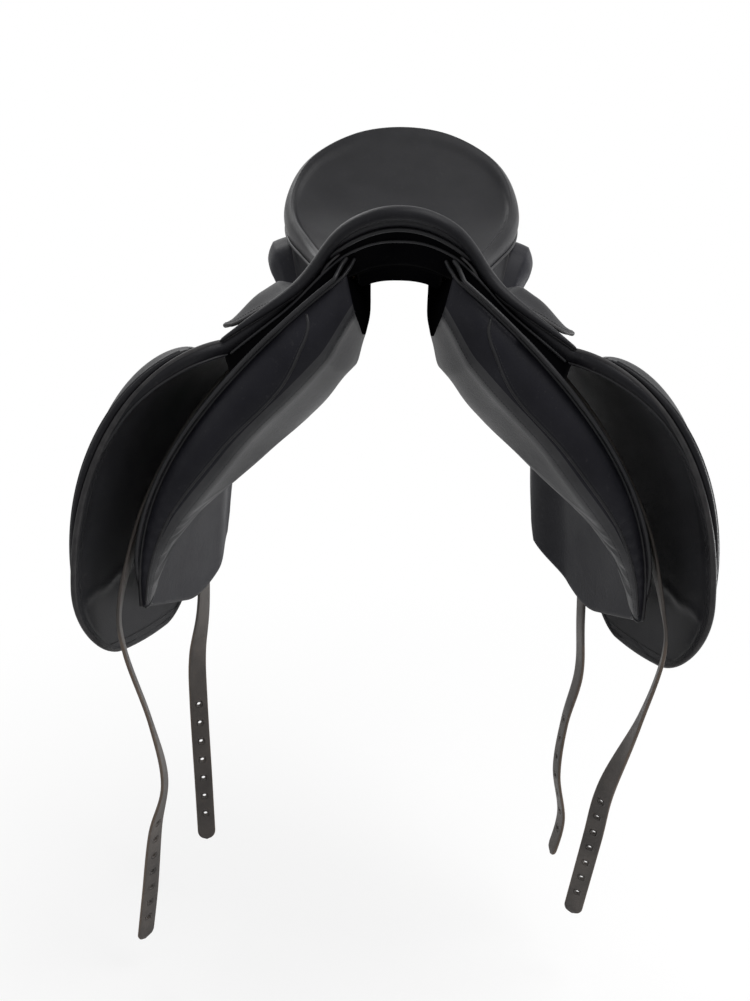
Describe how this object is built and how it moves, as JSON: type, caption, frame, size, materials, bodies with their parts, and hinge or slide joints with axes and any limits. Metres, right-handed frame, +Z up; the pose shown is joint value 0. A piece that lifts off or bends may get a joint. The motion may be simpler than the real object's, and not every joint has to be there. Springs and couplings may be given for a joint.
{
  "type": "dressage saddle",
  "caption": "Black leather dressage saddle with a deep seat, long straight flaps with thigh blocks, stuffed panels, lifting skirts over stirrup bars and long hanging billets.",
  "frame": {"origin": "roof of the channel under the lowest point of the seat, on the middle plane", "axes": "+Z up, +Y towards the cantle, +X to the right as seen from the front; left and right in the names are as seen from there"},
  "size_m": [0.667, 0.5081, 1.0227],
  "materials": {
    "seat_leather": "satin black grain leather, lightly worn",
    "black_leather": "smooth black leather with a soft shine",
    "panel_leather": "soft black leather over stuffing",
    "strap_leather": "dark brown-black strap leather with brown cut edges",
    "steel": "plain steel",
    "wood": "laminated beech",
    "foam": "cream foam",
    "web": "woven webbing"
  },
  "bodies": {
    "saddle": {"seat_cover": "seat_leather", "seat_foam": "foam", "seat_welt": "black_leather", "tree": "wood", "head_plate": "steel", "head_rivets": "steel", "seat_web": "web", "girth_web_left": "web", "girth_web_right": "web", "pommel_lining": "black_leather", "cantle_facing": "black_leather", "side_leather_left": "black_leather", "side_leather_right": "black_leather", "panel_left": "panel_leather", "panel_right": "panel_leather", "sweat_flap_left": "black_leather", "sweat_flap_right": "black_leather", "point_pocket_left": "black_leather", "point_pocket_right": "black_leather", "flap_top_left": "black_leather", "flap_top_right": "black_leather", "skirt_top_left": "black_leather", "skirt_top_right": "black_leather", "skirt_studs": "steel", "stirrup_bar_left": "steel", "stirrup_bar_right": "steel", "bar_rivets_left": "steel", "bar_rivets_right": "steel", "catch_pin_left": "steel", "catch_pin_right": "steel"},
    "flap_left": {"flap_left": "black_leather", "thigh_block_left": "black_leather"},
    "skirt_left": {"skirt_left": "black_leather"},
    "bar_catch_left": {"bar_catch_left": "steel"},
    "billet_front_left": {"billet_front_left": "strap_leather"},
    "billet_rear_left": {"billet_rear_left": "strap_leather"},
    "flap_right": {"flap_right": "black_leather", "thigh_block_right": "black_leather"},
    "skirt_right": {"skirt_right": "black_leather"},
    "bar_catch_right": {"bar_catch_right": "steel"},
    "billet_front_right": {"billet_front_right": "strap_leather"},
    "billet_rear_right": {"billet_rear_right": "strap_leather"}
  },
  "joints": [
    {"name": "flap_left_lift", "type": "hinge", "parent": "saddle", "child": "flap_left", "pos_m": [-0.172, -0.21252, -0.0443], "axis": [0, 0.9945, -0.1045], "range_deg": [0, 70]},
    {"name": "skirt_left_lift", "type": "hinge", "parent": "saddle", "child": "skirt_left", "pos_m": [-0.09559, -0.2068, 0.01015], "axis": [0, 0.9945, -0.1045], "range_deg": [0, 60]},
    {"name": "bar_catch_left_turn", "type": "hinge", "parent": "saddle", "child": "bar_catch_left", "pos_m": [-0.12333, -0.03921, -0.02174], "axis": [0.8387, 0.0569, 0.5417], "range_deg": [0, 80]},
    {"name": "billet_front_left_swing", "type": "hinge", "parent": "saddle", "child": "billet_front_left", "pos_m": [-0.11118, -0.11181, -0.02368], "axis": [0.5446, -0.0877, -0.8341], "range_deg": [-4, 3]},
    {"name": "billet_rear_left_swing", "type": "hinge", "parent": "saddle", "child": "billet_rear_left", "pos_m": [-0.11118, -0.0422, -0.031], "axis": [0.5446, -0.0877, -0.8341], "range_deg": [-3, 6]},
    {"name": "flap_right_lift", "type": "hinge", "parent": "saddle", "child": "flap_right", "pos_m": [0.172, -0.21252, -0.0443], "axis": [0, -0.9945, 0.1045], "range_deg": [0, 70]},
    {"name": "skirt_right_lift", "type": "hinge", "parent": "saddle", "child": "skirt_right", "pos_m": [0.09559, -0.2068, 0.01015], "axis": [0, -0.9945, 0.1045], "range_deg": [0, 60]},
    {"name": "bar_catch_right_turn", "type": "hinge", "parent": "saddle", "child": "bar_catch_right", "pos_m": [0.12333, -0.03921, -0.02174], "axis": [0.8387, -0.0569, -0.5417], "range_deg": [0, 80]},
    {"name": "billet_front_right_swing", "type": "hinge", "parent": "saddle", "child": "billet_front_right", "pos_m": [0.11118, -0.11181, -0.02368], "axis": [0.5446, 0.0877, 0.8341], "range_deg": [-4, 3]},
    {"name": "billet_rear_right_swing", "type": "hinge", "parent": "saddle", "child": "billet_rear_right", "pos_m": [0.11118, -0.0422, -0.031], "axis": [0.5446, 0.0877, 0.8341], "range_deg": [-3, 6]}
  ]
}
